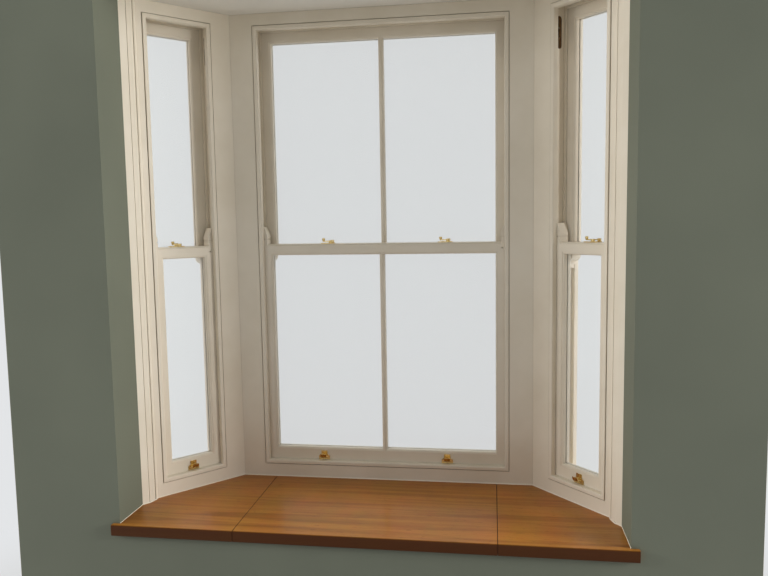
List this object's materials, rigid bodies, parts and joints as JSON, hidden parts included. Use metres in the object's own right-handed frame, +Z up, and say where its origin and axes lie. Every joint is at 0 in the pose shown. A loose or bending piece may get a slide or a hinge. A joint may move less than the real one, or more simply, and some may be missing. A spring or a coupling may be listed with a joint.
{
  "type": "canted bay window with box sash windows",
  "caption": "Canted timber bay with sliding sash windows, stained window board, moulded architraves, brick dwarf wall and a low lead roof, seen from the room and from outside.",
  "frame": {"origin": "at ground level, below the middle of the whole", "axes": "+X to the right along the room wall as seen from the room, +Y outwards from the room, +Z up"},
  "size_m": [2.396, 0.719, 2.9985],
  "materials": {
    "wall_paint": "sage-green emulsion on plaster in the room, brickwork outside",
    "brick": "red-brown facing brick in lime-coloured mortar",
    "joinery_paint": "off-white satin gloss paint on softwood",
    "board_timber": "honey-brown stained and varnished softwood",
    "glass": "clear float glass",
    "ceiling_plaster": "matt white emulsion on plasterboard",
    "roof_timber": "sawn softwood",
    "lead": "weathered milled lead",
    "brass": "polished brass, lacquered"
  },
  "bodies": {
    "root": {"apron_wall": "wall_paint", "architrave_left": "joinery_paint", "architrave_right": "joinery_paint", "bay_ceiling": "ceiling_plaster", "box_frame_centre": "joinery_paint", "box_frame_left": "joinery_paint", "box_frame_right": "joinery_paint", "cill_centre": "joinery_paint", "cill_left": "joinery_paint", "cill_right": "joinery_paint", "corner_post_left": "joinery_paint", "corner_post_right": "joinery_paint", "cornice": "joinery_paint", "dwarf_wall": "brick", "fascia": "joinery_paint", "fastener_keeps": "brass", "flashing": "lead", "glass_centre": "glass", "glass_left": "glass", "glass_right": "glass", "lead_roof": "lead", "lower_sash_centre": "joinery_paint", "lower_sash_left": "joinery_paint", "lower_sash_right": "joinery_paint", "parting_bead_centre": "joinery_paint", "parting_bead_left": "joinery_paint", "parting_bead_right": "joinery_paint", "pier_left": "wall_paint", "pier_right": "wall_paint", "roof_timbers": "roof_timber", "sash_fasteners": "brass", "sash_lifts": "brass", "sash_pulleys": "brass", "staff_bead_centre": "joinery_paint", "staff_bead_left": "joinery_paint", "staff_bead_right": "joinery_paint", "upper_sash_centre": "joinery_paint", "upper_sash_left": "joinery_paint", "upper_sash_right": "joinery_paint", "wall_head": "wall_paint", "window_board_centre": "board_timber", "window_board_left": "board_timber", "window_board_right": "board_timber"}
  },
  "joints": []
}
